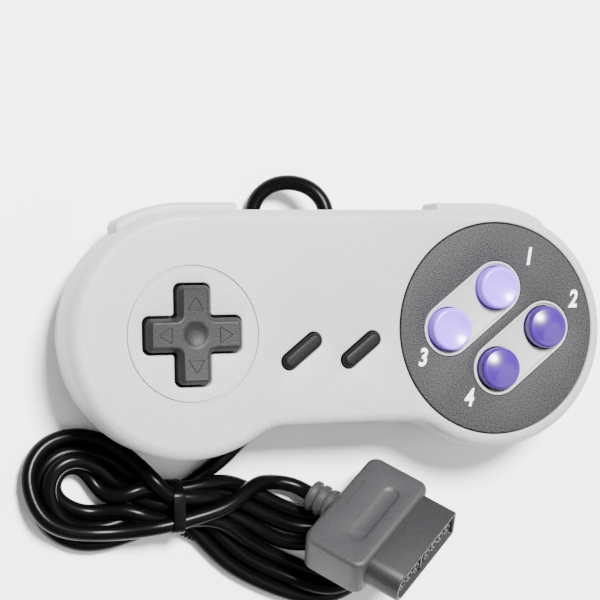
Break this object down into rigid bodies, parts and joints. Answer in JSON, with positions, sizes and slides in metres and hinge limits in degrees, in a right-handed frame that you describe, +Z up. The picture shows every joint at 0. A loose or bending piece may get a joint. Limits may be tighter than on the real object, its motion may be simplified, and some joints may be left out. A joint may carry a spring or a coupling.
{
  "type": "wired game controller",
  "caption": "Two-handed wired game controller with a direction pad, round face buttons, shoulder buttons and a tied hank of cord ending in a rectangular plug",
  "frame": {"origin": "on the surface that the controller lies on, under the middle of the box around the housing and its buttons", "axes": "+X from the direction pad to the round buttons, +Y to the edge with the shoulder buttons and the cord's gland, +Z up out of the face"},
  "size_m": [0.1491, 0.1078, 0.035],
  "materials": {
    "shell": "fine even grain",
    "plate": "coarse grain",
    "key": "satin",
    "concave_button": "gloss",
    "domed_button": "gloss",
    "membrane": "matte",
    "board": "solder resist",
    "chip": "matte",
    "can": "satin",
    "nylon": "satin",
    "wire": "satin",
    "steel": "bright",
    "cord": "gloss",
    "plug": "satin",
    "shroud": "satin",
    "contact": "bright"
  },
  "bodies": {
    "housing": {"front_shell": "shell", "rear_shell": "shell", "button_plate": "plate", "shoulder_pin_left": "steel", "shoulder_pin_right": "steel", "action_membrane": "membrane", "pad_membrane": "membrane", "select_start_membrane": "membrane", "main_board": "board", "encoder_chip": "chip", "capacitor": "can", "lead_header": "nylon", "lead_wires": "wire", "shoulder_board_left": "board", "shoulder_board_right": "board", "shoulder_dome_left": "membrane", "shoulder_dome_right": "membrane", "shoulder_wires_left": "wire", "shoulder_wires_right": "wire", "cord_lead": "cord", "cord_tail": "cord", "cord_hank": "cord", "cord_tie": "cord", "cord_gland": "cord", "plug_body": "plug", "plug_shroud": "shroud", "plug_strain_relief": "plug", "case_screw_1": "steel", "case_screw_2": "steel", "case_screw_3": "steel", "case_screw_4": "steel", "case_screw_5": "steel", "plug_contact_1": "contact", "plug_contact_2": "contact", "plug_contact_3": "contact", "plug_contact_4": "contact", "plug_contact_5": "contact", "plug_contact_6": "contact", "plug_contact_7": "contact"},
    "button_top": {"button_top": "concave_button"},
    "button_left": {"button_left": "concave_button"},
    "button_right": {"button_right": "domed_button"},
    "button_bottom": {"button_bottom": "domed_button"},
    "select_button": {"select_button": "key"},
    "start_button": {"start_button": "key"},
    "pad_pivot": {"pad_pivot": "nylon"},
    "direction_pad": {"direction_pad": "key"},
    "shoulder_button_left": {"shoulder_button_left": "shell"},
    "shoulder_button_right": {"shoulder_button_right": "shell"}
  },
  "joints": [
    {"name": "button_top_press", "type": "slide", "parent": "housing", "child": "button_top", "axis": [0, 0, -1], "range_m": [0, 0.0018], "stiffness_N_per_m": 400},
    {"name": "button_left_press", "type": "slide", "parent": "housing", "child": "button_left", "axis": [0, 0, -1], "range_m": [0, 0.0018], "stiffness_N_per_m": 400},
    {"name": "button_right_press", "type": "slide", "parent": "housing", "child": "button_right", "axis": [0, 0, -1], "range_m": [0, 0.0018], "stiffness_N_per_m": 400},
    {"name": "button_bottom_press", "type": "slide", "parent": "housing", "child": "button_bottom", "axis": [0, 0, -1], "range_m": [0, 0.0018], "stiffness_N_per_m": 400},
    {"name": "select_button_press", "type": "slide", "parent": "housing", "child": "select_button", "axis": [0, 0, -1], "range_m": [0, 0.0012], "stiffness_N_per_m": 500},
    {"name": "start_button_press", "type": "slide", "parent": "housing", "child": "start_button", "axis": [0, 0, -1], "range_m": [0, 0.0012], "stiffness_N_per_m": 500},
    {"name": "pad_tilt_up_down", "type": "hinge", "parent": "housing", "child": "pad_pivot", "pos_m": [-0.041, -0.001, 0.02], "axis": [1, 0, 0], "range_deg": [-3.5, 3.5], "stiffness_Nm_per_rad": 0.12},
    {"name": "pad_tilt_left_right", "type": "hinge", "parent": "pad_pivot", "child": "direction_pad", "pos_m": [-0.041, -0.001, 0.02], "axis": [0, 1, 0], "range_deg": [-3.5, 3.5], "stiffness_Nm_per_rad": 0.12},
    {"name": "shoulder_left_press", "type": "hinge", "parent": "housing", "child": "shoulder_button_left", "pos_m": [-0.024, 0.0233, 0.0145], "axis": [0, 0, 1], "range_deg": [0, 4], "stiffness_Nm_per_rad": 0.5},
    {"name": "shoulder_right_press", "type": "hinge", "parent": "housing", "child": "shoulder_button_right", "pos_m": [0.024, 0.0233, 0.0145], "axis": [0, 0, -1], "range_deg": [0, 4], "stiffness_Nm_per_rad": 0.5}
  ]
}
